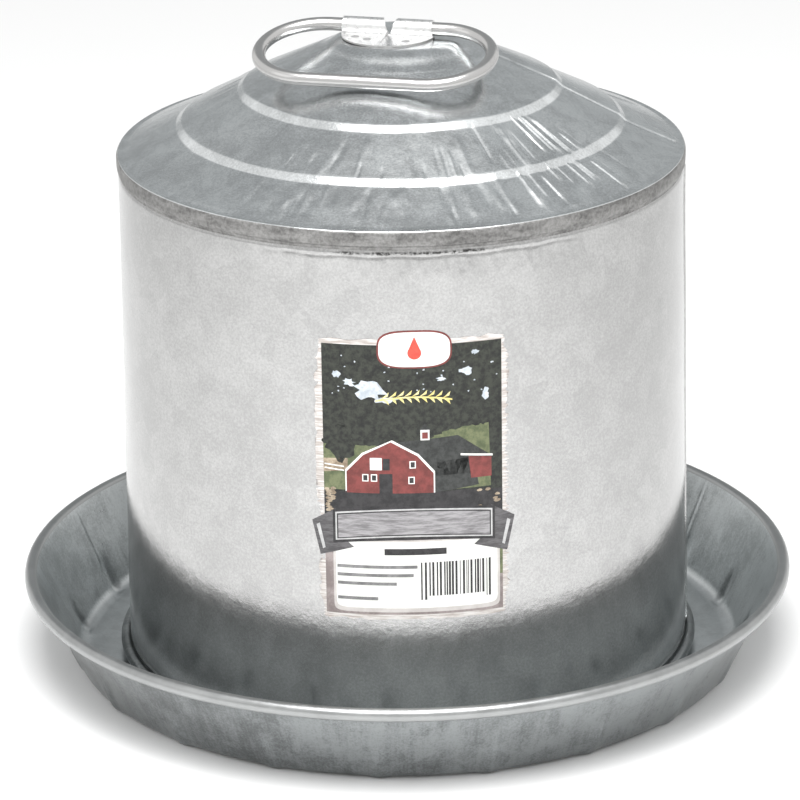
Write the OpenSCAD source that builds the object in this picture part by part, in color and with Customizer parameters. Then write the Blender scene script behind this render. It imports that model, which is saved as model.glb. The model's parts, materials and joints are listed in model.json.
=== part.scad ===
// Double-wall poultry waterer fount, millimetres.
// The drinking pan carries an open inner tank. A closed outer shell slides down over the
// tank and holds the water in by vacuum. A spring lever shuts the tank's outlet whenever
// the shell is lifted off.
// Origin: centre of the pan's underside. +Z up, -Y towards the front, +X along the
// handle's hinge. Azimuths turn from the front (-Y) towards +X.

/* [Pan] */
// Outer radius of the pan over its rolled rim
pan_r = 158.75; // [150:0.25:175]
// Height of the pan's rolled rim above the ground
pan_h = 39; // [34:0.1:48]
// Radius of the pan's bottom where it meets the sloping wall
pan_foot_r = 139.4; // [132:0.1:145]
// Radius of the rounded corner between bottom and wall
pan_corner_r = 7.5; // [6:0.5:9]
// Section radius of the rolled rim
pan_bead_r = 2.65; // [2:0.05:4]
// Number of pressed flutes round the bottom corner
flute_count = 20; // [12:1:30]
// How far each flute stands proud of the wall
flute_rise = 0.6; // [0.4:0.1:1.5]

/* [Shell] */
// Outer radius of the shell at its top seam
shell_top_r = 113.6; // [113:0.1:114.5]
// Outer radius of the shell at its mouth
shell_mouth_r = 116; // [115.5:0.1:118]
// Height of the shell's mouth above the ground
mouth_z = 4; // [3:0.5:6]
// Height of the underside of the top seam
seam_z = 209.9; // [203:0.1:240]
// Height of the top seam's band
seam_h = 6.7; // [5:0.1:9]
// Section radius of the curled mouth
mouth_curl_r = 2.3; // [1.8:0.1:2.6]
// Azimuth of the vertical lock seam
wall_seam_az = 102; // [0:1:359]
// Width of the lock seams
lock_seam_w = 6.5; // [4:0.5:10]

/* [Top] */
// Height of each pressed step in the cone
step_h = 3.3; // [2:0.1:4]
// Outer radius of the lower pressed step
step_a_r = 89.9; // [80:0.1:95]
// Outer radius of the upper pressed step
step_b_r = 64.9; // [55:0.1:70]
// Slope of the cone's lower panel, degrees
slope_low = 22.6; // [15:0.1:30]
// Slope of the cone's middle panel, degrees
slope_mid = 26.3; // [15:0.1:30]
// Slope of the cone's upper panel, degrees
slope_top = 24.5; // [15:0.1:30]
// Radius of the crown cap over its edge
cap_r = 34.7; // [33:0.1:38]
// Radius of the flat on top of the crown cap
cap_flat_r = 24; // [22:0.5:26]
// Rise of the crown cap from its edge to its flat
cap_h = 5.3; // [4:0.1:7]
// Azimuth of the cone's radial lap seam
cone_seam_az = 103; // [0:1:359]

/* [Handle] */
// Diameter of the handle wire
wire_d = 5.4; // [4:0.1:6]
// Length of the handle along its hinge, over the wire
handle_l = 98.7; // [90:0.1:120]
// Reach of the handle across its hinge, over the wire
handle_w = 52; // [45:0.5:70]
// Sideways place of the handle and its clip
handle_x = -4.3; // [-8:0.1:8]
// How far the handle lies below level at rest, degrees
handle_tilt = 12.5; // [5:0.5:12.5]
// Radius of the clip's round flange
clip_r = 18.9; // [15:0.1:20]
// Width of the notch between the clip's two rolled tabs, at its top
notch_w = 7; // [4:0.5:10]
// Gap between the wire's two ends inside the clip
wire_gap = 9; // [6:0.5:14]

/* [Tank] */
// Outer radius of the inner tank
tank_r = 105; // [103:0.5:106]
// Height of the tank's rolled rim above the ground
tank_top_z = 200.2; // [190:0.1:204]
// Section radius of the tank's rolled rim
tank_curl_r = 2; // [1.6:0.1:2.2]
// Azimuth of the tank's vertical lock seam
tank_seam_az = 250; // [215:1:280]
// Radius of the outlet through the tank wall
outlet_r = 3; // [2:0.1:3.5]
// Height of the outlet's centre
outlet_z = 16; // [15:0.5:18]

/* [Lock] */
// Number of twist-lock lugs on each wall
lug_count = 3; // [2:1:4]
// Azimuth of the shell's first lug
shell_lug_az = 60; // [40:1:70]
// Twist between the free and the locked place, degrees
lock_twist = 20; // [16:1:24]
// Inner radius that the shell's lugs reach
shell_lug_r = 109.8; // [109.5:0.1:110.5]
// Outer radius that the tank's lugs reach
tank_lug_r = 112.3; // [111.5:0.1:112.5]

/* [Valve] */
// Height of the lever's pin
pin_z = 30; // [29:0.5:32]
// Swing of the lever from open to shut, degrees
valve_swing = 8; // [6:0.5:8]
// Width of the lever strip
lever_w = 5; // [4:0.5:5]
// Thickness of the rubber pad
pad_t = 1.9; // [1.5:0.1:2.2]

/* [Label] */
// Width of the paper label round the shell
label_w = 74.5; // [50:1:90]
// Height of the label's lower edge
label_z = 58; // [20:0.5:80]
// Height of the label
label_h = 116; // [60:1:120]
// Azimuth of the label's middle
label_az = 15; // [0:1:359]

/* [Sheet] */
// Thickness of the galvanised sheet
sheet = 0.7; // [0.5:0.1:0.8]

/* [Hidden] */

$fn = 96;
zinc = [0.74, 0.76, 0.77];
bright_zinc = [0.86, 0.87, 0.87];
pan_zinc = [0.58, 0.61, 0.62];
paper = [0.93, 0.91, 0.86];

eps = 0.05;             // overlap that joins shapes within one piece
arc_steps = 6;          // straight runs in each rounded corner of a profile
wire_fit = 0.1;         // running clearance of the handle wire in its clip

// Pan
pan_bead_z = pan_h - pan_bead_r;
pan_bead_mid = pan_r - pan_bead_r;
pan_wall_top_r = pan_bead_mid - pan_bead_r + sheet;
pan_corner = [pan_foot_r - pan_corner_r, pan_corner_r];
pan_wall_run = [pan_wall_top_r, pan_bead_z] - pan_corner;
pan_slope = atan2(pan_wall_run[0], pan_wall_run[1]) - asin(pan_corner_r / norm(pan_wall_run));
flute_r = 3;            // section radius of a flute
flute_l = 8;            // length of a flute up the wall
flute_low = 65;         // how far a flute reaches round the corner, degrees below level

// Shell
seam_top_z = seam_z + seam_h;
band_r = shell_top_r + sheet;
band_edge = 0.6;        // rounded edge on top of the seam band
lip_h = 5.2;            // height of the shell wall inside the seam band
compound_h = 0.6;       // thickness of the sealing compound
mouth_curl_z = mouth_z + mouth_curl_r;
mouth_curl_mid = shell_mouth_r - sheet + mouth_curl_r;
wall_fall = (shell_mouth_r - shell_top_r) / (seam_z - mouth_z);
function shell_r(z) = shell_mouth_r - (z - mouth_z) * wall_fall;

// Cone
cone_foot_r = band_r - band_edge;
step_a_z = seam_top_z + (cone_foot_r - step_a_r) * tan(slope_low);
step_a_top_r = step_a_r - step_h;
step_b_z = step_a_z + step_h + (step_a_top_r - step_b_r) * tan(slope_mid);
step_b_top_r = step_b_r - step_h;
cap_z = step_b_z + step_h + (step_b_top_r - cap_r) * tan(slope_top);
cap_flat_z = cap_z + cap_h;
cap_step = 2.3;         // height of the short steep edge of the cap
cap_lap = 0.8;          // width of the cap's edge that lies on the cone

// Handle and clip
wire_r = wire_d / 2;
clip_bore_r = wire_r + wire_fit;
clip_roll_r = clip_bore_r + sheet;
hinge_z = cap_flat_z + clip_roll_r;
bend_r = handle_w / 2 - wire_r;
handle_run = handle_l - handle_w;
notch_x = 1;            // middle of the notch, from the clip's middle

// Tank
tank_in_r = tank_r - sheet;
tank_floor_z = sheet;
tank_curl_z = tank_top_z - tank_curl_r;
tank_curl_mid = tank_in_r + tank_curl_r;
foot_flange_h = 3.5;    // height of the tank bottom's turned-up edge
solder_w = 2.5;         // width of the solder fillet round the tank's foot

// Valve, measured from the axis towards the front, with the lever shut
seat_flange_r = 5.5;
seat_flange_t = 1;
seat_tube_r = 3.8;
pad_gap = 0.05;
pad_back = tank_r + seat_flange_t + pad_gap + pad_t;
strip_t = 0.8;
pin_r = 1.25;
barrel_bore_r = 1.35;
barrel_r = 2.2;
pin_y = pad_back + barrel_r;
nose_z = 14;            // height of the lever's nose above the pin
nose_reach = 6.05;      // how far the nose stands out past the pin
barrel_l = lever_w;
ear_gap = 10.4;         // clear width between the bracket's ears
ear_t = 0.8;
ear_reach = pin_y + barrel_r;
spring_wire_r = 0.35;
spring_r = 1.85;        // radius of the spring's coil
spring_turns = 1.75;

// Rivets of the valve's bracket
rivet_shank_r = 1.2;
rivet_head_r = 2.4;
rivet_head_t = 0.9;
rivet_drop = 4.2;       // height between each rivet and the pin

// Label
label_t = 0.2;          // thickness of the paper

// Lugs
foot_gap = 0.2;         // gap between a shell lug's foot and the pan
lug_tab_z = 15;
lug_tab_t = 1.2;
lug_clear = 1.4;        // free height between the two lugs when locked
lug_w = 9;              // width of a lug along the wall
stop_az = 2.6;          // turn from a tank lug's middle to its stop, degrees
lug_h = 20;

// Points of an arc round [x, y], from angle a to angle b
function arc(x, y, r, a, b, n = arc_steps) =
    [for (i = [0:n]) let (t = a + (b - a) * i / n) [x + r * cos(t), y + r * sin(t)]];

// Turn a shape drawn at the front round to an azimuth
module at_azimuth(az) {
    rotate([0, 0, az]) children();
}

// Full ring of a flat section
module ring() {
    rotate_extrude($fn = 180) children();
}

// Part of a ring, w wide at radius r, with its middle at the front
module ring_sector(w, r) {
    span = w / r * 180 / PI;
    rotate([0, 0, -90 - span / 2]) rotate_extrude(angle = span, $fn = 180) children();
}

// Ring of round wire, or the hollow curl of sheet round it
module wire_ring(r, z, section_r) {
    ring() translate([r, z]) circle(r = section_r, $fn = 32);
}

module curl_ring(r, z, outer_r) {
    difference() {
        wire_ring(r, z, outer_r);
        wire_ring(r, z, outer_r - sheet);
    }
}

// Disc whose axis points to the front, from distance near to distance far
module front_disc(r, near, far, z) {
    translate([0, -near, z]) rotate([90, 0, 0]) cylinder(h = far - near, r = r, $fn = 48);
}

// Half section of the pan, its outside moved in by t
function pan_section(t) = concat(
    [[0, t]],
    arc(pan_corner[0], pan_corner[1], pan_corner_r - t, -90, -pan_slope),
    [[pan_wall_top_r - t / cos(pan_slope), pan_bead_z + eps], [0, pan_bead_z + eps]]
);

// Half-round ribs that bend round the bottom corner and fade out a little way up the wall
module pan_flutes() {
    in = pan_corner_r - flute_r + flute_rise;
    for (i = [0:flute_count - 1])
        rotate([0, 0, (i + 0.5) * 360 / flute_count])
            translate([pan_corner[0], 0, pan_corner[1]]) rotate([90, 0, 0]) {
                rotate([0, 0, -flute_low]) rotate_extrude(angle = flute_low - pan_slope)
                    translate([in, 0]) circle(r = flute_r, $fn = 32);
                rotate([0, 0, -pan_slope]) translate([in, -eps, 0]) rotate([-90, 0, 0])
                    cylinder(h = flute_l, r1 = flute_r - 0.1, r2 = flute_r - flute_rise, $fn = 32);
            }
}

module pan() {
    color(pan_zinc) {
        difference() {
            union() {
                ring() polygon(pan_section(0));
                pan_flutes();
            }
            ring() polygon(pan_section(sheet));
            translate([0, 0, pan_bead_z]) cylinder(h = 5, r = pan_r);
        }
        curl_ring(pan_bead_mid, pan_bead_z, pan_bead_r);
    }
}

module pan_rim_wire() {
    color("gray") wire_ring(pan_bead_mid, pan_bead_z, pan_bead_r - sheet);
}

module tank_wall() {
    low = tank_floor_z + sheet;
    color(zinc) {
        difference() {
            union() {
                ring() polygon([
                    [tank_in_r, low], [tank_r, low], [tank_r, tank_curl_z], [tank_in_r, tank_curl_z]
                ]);
                at_azimuth(tank_seam_az) ring_sector(lock_seam_w, tank_r) polygon([
                    [tank_r - eps, low + foot_flange_h], [tank_r + sheet, low + foot_flange_h],
                    [tank_r + sheet, tank_curl_z - tank_curl_r], [tank_r - eps, tank_curl_z - tank_curl_r]
                ]);
            }
            front_disc(seat_tube_r, tank_in_r - 2, tank_r + 2, outlet_z);
            rivet_places() front_disc(rivet_shank_r, tank_in_r - 2, tank_r + 2, 0);
        }
        curl_ring(tank_curl_mid, tank_curl_z, tank_curl_r);
    }
}

module tank_bottom() {
    low = tank_floor_z;
    color(zinc) ring() polygon([
        [0, low], [tank_r + sheet, low], [tank_r + sheet, low + foot_flange_h],
        [tank_r, low + foot_flange_h], [tank_r, low + sheet], [0, low + sheet]
    ]);
}

module tank_foot_solder() {
    in = tank_r + sheet;
    color("darkgray") ring() polygon([
        [in, sheet], [in + solder_w, sheet], [in, sheet + solder_w]
    ]);
}

module tank_rim_wire() {
    color("gray") wire_ring(tank_curl_mid, tank_curl_z, tank_curl_r - sheet);
}

// Catch plate with a tab over the shell's lug and a stop at its end
module tank_lock_lugs() {
    tab_z = lug_tab_z + lug_tab_t + lug_clear;
    plate_r = tank_r + sheet;
    color(bright_zinc)
        for (i = [0:lug_count - 1])
            at_azimuth(shell_lug_az + lock_twist + i * 360 / lug_count) {
                ring_sector(lug_w + 3, tank_r) polygon([
                    [tank_r, tab_z - 6], [plate_r, tab_z - 6], [plate_r, tab_z], [tank_lug_r, tab_z],
                    [tank_lug_r, tab_z + lug_tab_t], [plate_r, tab_z + lug_tab_t],
                    [plate_r, tab_z + 8], [tank_r, tab_z + 8]
                ]);
                at_azimuth(stop_az) ring_sector(lug_tab_t, tank_r) polygon([
                    [shell_lug_r, tab_z - 5], [tank_lug_r - 0.3, tab_z - 5],
                    [tank_lug_r - 0.3, tab_z + lug_tab_t / 2], [shell_lug_r, tab_z + lug_tab_t / 2]
                ]);
            }
}

// Brass eyelet clenched through the tank wall
module valve_seat() {
    color("goldenrod") difference() {
        union() {
            front_disc(seat_tube_r, tank_in_r - seat_flange_t, tank_r + seat_flange_t / 2, outlet_z);
            intersection() {
                front_disc(seat_flange_r, tank_in_r - 3, tank_r + seat_flange_t, outlet_z);
                difference() {
                    cylinder(h = 40, r = tank_r + 4);
                    translate([0, 0, -1]) cylinder(h = 42, r = tank_r);
                }
            }
            intersection() {
                front_disc(seat_flange_r, tank_in_r - seat_flange_t, tank_r, outlet_z);
                cylinder(h = 40, r = tank_in_r);
            }
        }
        front_disc(outlet_r, tank_in_r - 5, tank_r + 5, outlet_z);
    }
}

module rivet_places() {
    for (side = [-1, 1]) translate([0, 0, pin_z + side * rivet_drop]) children();
}

// Bent bracket whose two ears carry the lever's pin
module valve_bracket() {
    plate_w = ear_gap + 2 * ear_t;
    color(bright_zinc) difference() {
        union() {
            ring_sector(plate_w, tank_r) polygon([
                [tank_r, pin_z - 8], [tank_r + sheet, pin_z - 8],
                [tank_r + sheet, pin_z + 8], [tank_r, pin_z + 8]
            ]);
            for (side = [-1, 1])
                translate([side * (ear_gap + ear_t) / 2 - ear_t / 2, -ear_reach, pin_z - 3])
                    cube([ear_t, ear_reach - tank_r - 0.2, 6]);
        }
        translate([-plate_w, -pin_y, pin_z]) rotate([0, 90, 0])
            cylinder(h = 2 * plate_w, r = pin_r, $fn = 48);
        rivet_places() front_disc(rivet_shank_r, tank_r - 2, tank_r + 3, 0);
    }
}

module bracket_rivets() {
    color("silver") rivet_places() {
        front_disc(rivet_shank_r, tank_in_r - rivet_head_t / 2, tank_r + sheet + rivet_head_t / 2, 0);
        front_disc(rivet_head_r, tank_r + sheet, tank_r + sheet + rivet_head_t, 0);
        front_disc(rivet_head_r, tank_in_r - rivet_head_t, tank_in_r - eps, 0);
    }
}

module valve_pin() {
    pin_l = ear_gap + 2 * ear_t + 1;
    color("silver") {
        translate([-pin_l / 2, -pin_y, pin_z]) rotate([0, 90, 0])
            cylinder(h = pin_l, r = pin_r, $fn = 48);
        for (side = [-1, 1])
            translate([side * (pin_l / 2) - 0.4, -pin_y, pin_z]) rotate([0, 90, 0])
                cylinder(h = 0.8, r = pin_r + 0.6, $fn = 48);
    }
}

// Turn what is drawn with the valve shut to its open place
module valve_open() {
    translate([0, -pin_y, pin_z]) rotate([-valve_swing, 0, 0]) translate([0, pin_y, -pin_z])
        children();
}

module valve_lever() {
    foot = outlet_z - 6;
    top = pin_z + nose_z;
    color(bright_zinc) valve_open() difference() {
        union() {
            translate([-lever_w / 2, -pad_back - strip_t, foot])
                cube([lever_w, strip_t, top - foot]);
            translate([-lever_w / 2, -pin_y - nose_reach, top - strip_t])
                cube([lever_w, pin_y + nose_reach - pad_back, strip_t]);
            translate([-barrel_l / 2, -pin_y, pin_z]) rotate([0, 90, 0])
                cylinder(h = barrel_l, r = barrel_r, $fn = 48);
        }
        translate([-lever_w, -pin_y, pin_z]) rotate([0, 90, 0])
            cylinder(h = 2 * lever_w, r = barrel_bore_r, $fn = 48);
        front_disc(0.9, pad_back - 1, pad_back + 2, outlet_z);
    }
}

module valve_pad() {
    color([0.12, 0.12, 0.12]) valve_open() difference() {
        front_disc(5.2, pad_back - pad_t, pad_back, outlet_z);
        front_disc(0.9, pad_back - 1, pad_back + 1, outlet_z);
    }
}

module pad_rivet() {
    color("goldenrod") valve_open() {
        front_disc(0.9, pad_back - 1, pad_back + strip_t + 0.2, outlet_z);
        front_disc(1.8, pad_back + strip_t, pad_back + strip_t + 0.8, outlet_z);
    }
}

// Tube of round wire swept along points that never run along X
module sweep_wire(points, r, sides = 8) {
    n = len(points);
    function unit(v) = v / norm(v);
    function along(i) = unit(points[min(i + 1, n - 1)] - points[max(i - 1, 0)]);
    function side(i) = unit(cross(along(i), [1, 0, 0]));
    verts = [
        for (i = [0:n - 1]) let (u = side(i), v = cross(along(i), u))
            for (k = [0:sides - 1]) let (t = k * 360 / sides)
                points[i] + r * (cos(t) * u + sin(t) * v)
    ];
    walls = [
        for (i = [0:n - 2], k = [0:sides - 1]) let (m = (k + 1) % sides)
            [i * sides + k, i * sides + m, (i + 1) * sides + m, (i + 1) * sides + k]
    ];
    ends = [[for (k = [sides - 1:-1:0]) k], [for (k = [0:sides - 1]) (n - 1) * sides + k]];
    polyhedron(verts, concat(walls, ends), convexity = 8);
}

// Torsion springs on the pin, one each side of the lever's barrel
module valve_springs() {
    steps = 12;
    first_x = barrel_l / 2 + 0.15 + spring_wire_r;
    coil = [
        for (i = [0:steps * spring_turns]) let (t = i * 360 / steps) [
            first_x + i / steps * (2 * spring_wire_r + 0.02),
            -pin_y + spring_r * cos(t),
            pin_z - spring_r * sin(t)
        ]
    ];
    long_leg = [first_x, -pin_y + spring_r, pin_z + 7];
    short_leg = coil[len(coil) - 1] + [0, 2.2, 0];
    color("silver") valve_open() for (side = [0, 1])
        mirror([side, 0, 0]) sweep_wire(concat([long_leg], coil, [short_leg]), spring_wire_r);
}

// Strip of shell wall from z = low to z = high, between two offsets from its outside
function wall_strip(low, high, in, out) = [
    [shell_r(low) + in, low], [shell_r(low) + out, low],
    [shell_r(high) + out, high], [shell_r(high) + in, high]
];

module shell_wall() {
    lip_z = seam_z + lip_h;
    lip_in = shell_top_r - sheet;
    color(zinc) {
        ring() polygon([
            [shell_r(mouth_curl_z) - sheet, mouth_curl_z], [shell_r(mouth_curl_z), mouth_curl_z],
            [shell_top_r, seam_z], [shell_top_r, lip_z], [lip_in, lip_z], [lip_in, seam_z]
        ]);
        curl_ring(mouth_curl_mid, mouth_curl_z, mouth_curl_r);
        at_azimuth(wall_seam_az) ring_sector(lock_seam_w, shell_top_r)
            polygon(wall_strip(mouth_z + 2 * mouth_curl_r, seam_z - 0.5, -eps, sheet));
    }
}

module shell_mouth_wire() {
    color("gray") wire_ring(mouth_curl_mid, mouth_curl_z, mouth_curl_r - sheet);
}

// Foot that holds the mouth off the pan, with a tab that turns under the tank's lug
module shell_lock_lugs() {
    low = sheet + foot_gap;
    color(bright_zinc)
        for (i = [0:lug_count - 1])
            at_azimuth(shell_lug_az + i * 360 / lug_count) {
                ring_sector(lug_w, shell_mouth_r)
                    polygon(wall_strip(low, low + lug_h, -2 * sheet, -sheet));
                ring_sector(lug_w, shell_mouth_r) polygon([
                    [shell_lug_r, lug_tab_z], [shell_r(lug_tab_z) - 2 * sheet + eps, lug_tab_z],
                    [shell_r(lug_tab_z) - 2 * sheet + eps, lug_tab_z + lug_tab_t],
                    [shell_lug_r, lug_tab_z + lug_tab_t]
                ]);
            }
}

module seam_compound() {
    low = seam_z + lip_h;
    color("dimgray") ring() polygon([
        [shell_top_r - sheet, low], [shell_top_r, low],
        [shell_top_r, low + compound_h], [shell_top_r - sheet, low + compound_h]
    ]);
}

// Outline of the cone's top side from the seam band up to the cap
cone_line = [
    [cone_foot_r, seam_top_z],
    [step_a_r, step_a_z], [step_a_top_r, step_a_z + step_h],
    [step_b_r, step_b_z], [step_b_top_r, step_b_z + step_h],
    [cap_r - cap_lap, cap_z + cap_lap * tan(slope_top)]
];
cone_t = sheet * 1.15;  // sheet thickness measured straight down on the slope

function lowered(line, t) = [for (i = [len(line) - 1:-1:0]) [line[i][0], line[i][1] - t]];

module cone_top() {
    under = [for (p = lowered(cone_line, cone_t)) if (p[0] < shell_top_r) p];
    color(zinc) {
        ring() polygon(concat(
            [[band_r, seam_z], [band_r, seam_top_z - band_edge]],
            cone_line,
            under,
            [[shell_top_r, seam_top_z - cone_t], [shell_top_r, seam_z]]
        ));
        at_azimuth(cone_seam_az) ring_sector(lock_seam_w, step_a_r) polygon(concat(
            [for (p = cone_line) if (p[0] > cap_r) [min(p[0], cone_foot_r - 2), p[1] + sheet]],
            [[cap_r + 1, cap_z + sheet]],
            [[cap_r + 1, cap_z - eps]],
            lowered([for (p = cone_line) if (p[0] > cap_r) [min(p[0], cone_foot_r - 2), p[1]]], eps)
        ));
    }
}

module crown_cap() {
    edge_r = cap_r - cap_step;
    run = edge_r - cap_flat_r;
    fall = cap_h - cap_step;
    round_r = (run * run + fall * fall) / (2 * fall);
    shoulder = arc(cap_flat_r, cap_flat_z - round_r, round_r, 90 - asin(run / round_r), 90);
    color(bright_zinc) ring() polygon(concat(
        [[cap_r, cap_z]], shoulder, [[0, cap_flat_z], [0, cap_flat_z - cone_t]],
        lowered(shoulder, cone_t),
        [[cap_r - cap_lap, cap_z + cap_lap * tan(slope_top)]]
    ));
}

// Round flange welded to the cap, with two tabs rolled over the handle wire
module handle_clip() {
    half_l = clip_r - 0.3;
    flange_top = cap_flat_z + sheet;
    roof = hinge_z + clip_roll_r + 1;
    color("white") translate([handle_x, 0, 0]) difference() {
        union() {
            intersection() {
                translate([0, 0, cap_flat_z]) cylinder(h = sheet, r = clip_r);
                translate([-clip_r, -clip_r, cap_flat_z - 1]) cube([2 * clip_r, clip_r + 1, 3]);
            }
            translate([-half_l, 0, hinge_z]) rotate([0, 90, 0])
                cylinder(h = 2 * half_l, r = clip_roll_r, $fn = 64);
        }
        translate([-clip_r - 1, 0, hinge_z]) rotate([0, 90, 0])
            cylinder(h = 2 * clip_r + 2, r = clip_bore_r, $fn = 64);
        translate([notch_x, clip_roll_r + 1, 0]) rotate([90, 0, 0])
            linear_extrude(2 * clip_roll_r + 2) polygon([
                [-0.5, flange_top + 0.3], [0.5, flange_top + 0.3],
                [notch_w / 2, roof], [-notch_w / 2, roof]
            ]);
    }
}

module wire_bar(y, from, to) {
    translate([from, y, 0]) rotate([0, 90, 0]) cylinder(h = to - from, r = wire_r, $fn = 48);
}

module wire_bend() {
    rotate([0, 0, -90]) rotate_extrude(angle = 180, $fn = 96)
        translate([bend_r, 0]) circle(r = wire_r, $fn = 48);
}

// Loop of round wire whose two ends stop short of each other inside the clip
module carry_handle() {
    color("white") translate([handle_x, 0, hinge_z]) rotate([handle_tilt, 0, 0]) {
        wire_bar(0, -handle_run / 2, notch_x - wire_gap / 2);
        wire_bar(0, notch_x + wire_gap / 2, handle_run / 2);
        wire_bar(-2 * bend_r, -handle_run / 2, handle_run / 2);
        translate([handle_run / 2, -bend_r, 0]) wire_bend();
        translate([-handle_run / 2, -bend_r, 0]) rotate([0, 0, 180]) wire_bend();
    }
}

module label() {
    color(paper) at_azimuth(label_az) ring_sector(label_w, shell_mouth_r)
        polygon(wall_strip(label_z, label_z + label_h, 0, label_t));
}

pan();
pan_rim_wire();
tank_wall();
tank_bottom();
tank_foot_solder();
tank_rim_wire();
tank_lock_lugs();
valve_seat();
valve_bracket();
bracket_rivets();
valve_pin();
valve_lever();
valve_pad();
pad_rivet();
valve_springs();
shell_wall();
shell_mouth_wire();
shell_lock_lugs();
seam_compound();
cone_top();
crown_cap();
handle_clip();
carry_handle();
label();
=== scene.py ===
"""Looks of a double-wall galvanised poultry waterer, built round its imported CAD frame.

Metres, +Z up, -Y towards the front. Azimuths turn from the front towards +X.
"""

import json
import math
import random

import bmesh
import bpy
import numpy as np
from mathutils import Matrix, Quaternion, Vector


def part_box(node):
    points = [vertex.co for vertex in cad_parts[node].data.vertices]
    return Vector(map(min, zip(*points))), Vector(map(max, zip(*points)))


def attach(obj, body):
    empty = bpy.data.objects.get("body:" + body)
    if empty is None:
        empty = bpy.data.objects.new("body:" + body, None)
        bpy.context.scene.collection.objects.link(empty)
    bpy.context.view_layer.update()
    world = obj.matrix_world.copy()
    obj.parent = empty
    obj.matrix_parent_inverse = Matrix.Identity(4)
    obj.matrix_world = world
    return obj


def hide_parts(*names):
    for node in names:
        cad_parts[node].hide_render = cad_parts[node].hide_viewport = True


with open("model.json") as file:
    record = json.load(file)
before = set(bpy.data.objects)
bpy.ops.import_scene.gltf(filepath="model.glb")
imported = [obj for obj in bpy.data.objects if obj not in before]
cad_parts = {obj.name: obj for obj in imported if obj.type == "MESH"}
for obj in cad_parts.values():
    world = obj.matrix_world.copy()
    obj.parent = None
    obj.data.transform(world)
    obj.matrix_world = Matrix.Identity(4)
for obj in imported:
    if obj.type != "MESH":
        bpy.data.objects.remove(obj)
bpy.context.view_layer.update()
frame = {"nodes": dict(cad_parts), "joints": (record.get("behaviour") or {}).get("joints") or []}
nodes = frame["nodes"]

MM = 0.001
SHEET = 0.7 * MM
CONE_LOW, CONE_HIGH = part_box("cone_top")
SEAM_Z = CONE_LOW.z
TOP_R = 113.6 * MM


# ---------------------------------------------------------------- outlines

def arc(centre, radius, start, end, steps=10):
    """Points of an arc in the (radius, height) plane, angles in degrees from +r."""
    angles = np.radians(np.linspace(start, end, steps + 1))
    return [(centre[0] + radius * math.cos(a), centre[1] + radius * math.sin(a)) for a in angles]


def resample(line, spacing):
    """The same line with no run longer than spacing."""
    out = [line[0]]
    for (r0, z0), (r1, z1) in zip(line, line[1:]):
        steps = max(1, math.ceil(math.hypot(r1 - r0, z1 - z0) / spacing))
        out += [(r0 + (r1 - r0) * i / steps, z0 + (z1 - z0) * i / steps) for i in range(1, steps + 1)]
    return out


def rounded(line, radius, steps=5):
    """The line with each inner corner replaced by a smooth curve that starts radius away from it."""
    out = [line[0]]
    for before, corner, after in zip(line, line[1:], line[2:]):
        b, c, a = (np.array(p) for p in (before, corner, after))
        cut = [min(radius, 0.45 * np.linalg.norm(p - c)) for p in (b, a)]
        start = c + (b - c) / np.linalg.norm(b - c) * cut[0]
        end = c + (a - c) / np.linalg.norm(a - c) * cut[1]
        for t in np.linspace(0, 1, steps + 1):
            out.append(tuple((1 - t) ** 2 * start + 2 * t * (1 - t) * c + t ** 2 * end))
    return out + [line[-1]]


def lengths_along(line):
    """The distance along the line at each of its points."""
    return np.concatenate([[0], np.cumsum([math.dist(a, b) for a, b in zip(line, line[1:])])])


def directions(points):
    """Unit vectors along a line of points."""
    along = np.gradient(np.array(points), axis=0)
    return along / np.linalg.norm(along, axis=1)[:, None]


def half_sheets(line):
    """Steps across the line, half a sheet long, one at each of its points."""
    along = directions(line)
    return np.stack([along[:, 1], -along[:, 0]], axis=1) * SHEET / 2


def thick(line):
    """Closed outline of a sheet whose middle follows the line."""
    middle, step = np.array(line), half_sheets(line)
    left, right = middle + step, middle - step
    for side in (left, right):
        side[:, 0] = np.maximum(side[:, 0], 0)
    return [tuple(q) for q in left] + [tuple(q) for q in right[::-1]]


# ---------------------------------------------------------------- meshes

def new_object(name, data):
    """An object that shows a mesh, a lamp or a camera."""
    obj = bpy.data.objects.new(name, data)
    bpy.context.scene.collection.objects.link(obj)
    return obj


def add_object(name, mesh, sharp=35):
    """An object with smooth faces, whose edges over the sharp angle stay crisp."""
    mesh.validate()
    mesh.shade_smooth()
    mesh.set_sharp_from_angle(angle=math.radians(sharp))
    return new_object(name, mesh)


def mesh_from(name, points, faces, sharp=35):
    """An object from points and faces, with doubled points merged and normals turned outwards."""
    mesh = bpy.data.meshes.new(name)
    mesh.from_pydata([tuple(p) for p in points], [], faces)
    bm = bmesh.new()
    bm.from_mesh(mesh)
    bmesh.ops.remove_doubles(bm, verts=bm.verts, dist=1e-7)
    bmesh.ops.recalc_face_normals(bm, faces=bm.faces)
    bm.to_mesh(mesh)
    bm.free()
    return add_object(name, mesh, sharp)


def turn_outline(outline, azimuths, shape=None):
    """Points and faces of a closed (r, z) outline turned about Z. shape(az, r, z) may move each point."""
    az = np.radians(np.array(azimuths))[:, None]
    r, z = (np.array(values) + 0 * az for values in zip(*outline))
    if shape is not None:
        r, z = shape(np.degrees(az), r, z)
    points = np.stack([r * np.sin(az), -r * np.cos(az), z], axis=2).reshape(-1, 3)
    rings, count = len(azimuths), len(outline)
    faces = []
    for i in range(rings):
        k = (i + 1) % rings
        for j in range(count):
            m = (j + 1) % count
            faces.append((i * count + j, i * count + m, k * count + m, k * count + j))
    return points, faces


def revolve(name, outline, azimuths, shape=None, sharp=35):
    """The object that a closed (r, z) outline makes when it is turned about Z."""
    return mesh_from(name, *turn_outline(outline, azimuths, shape), sharp)


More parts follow.
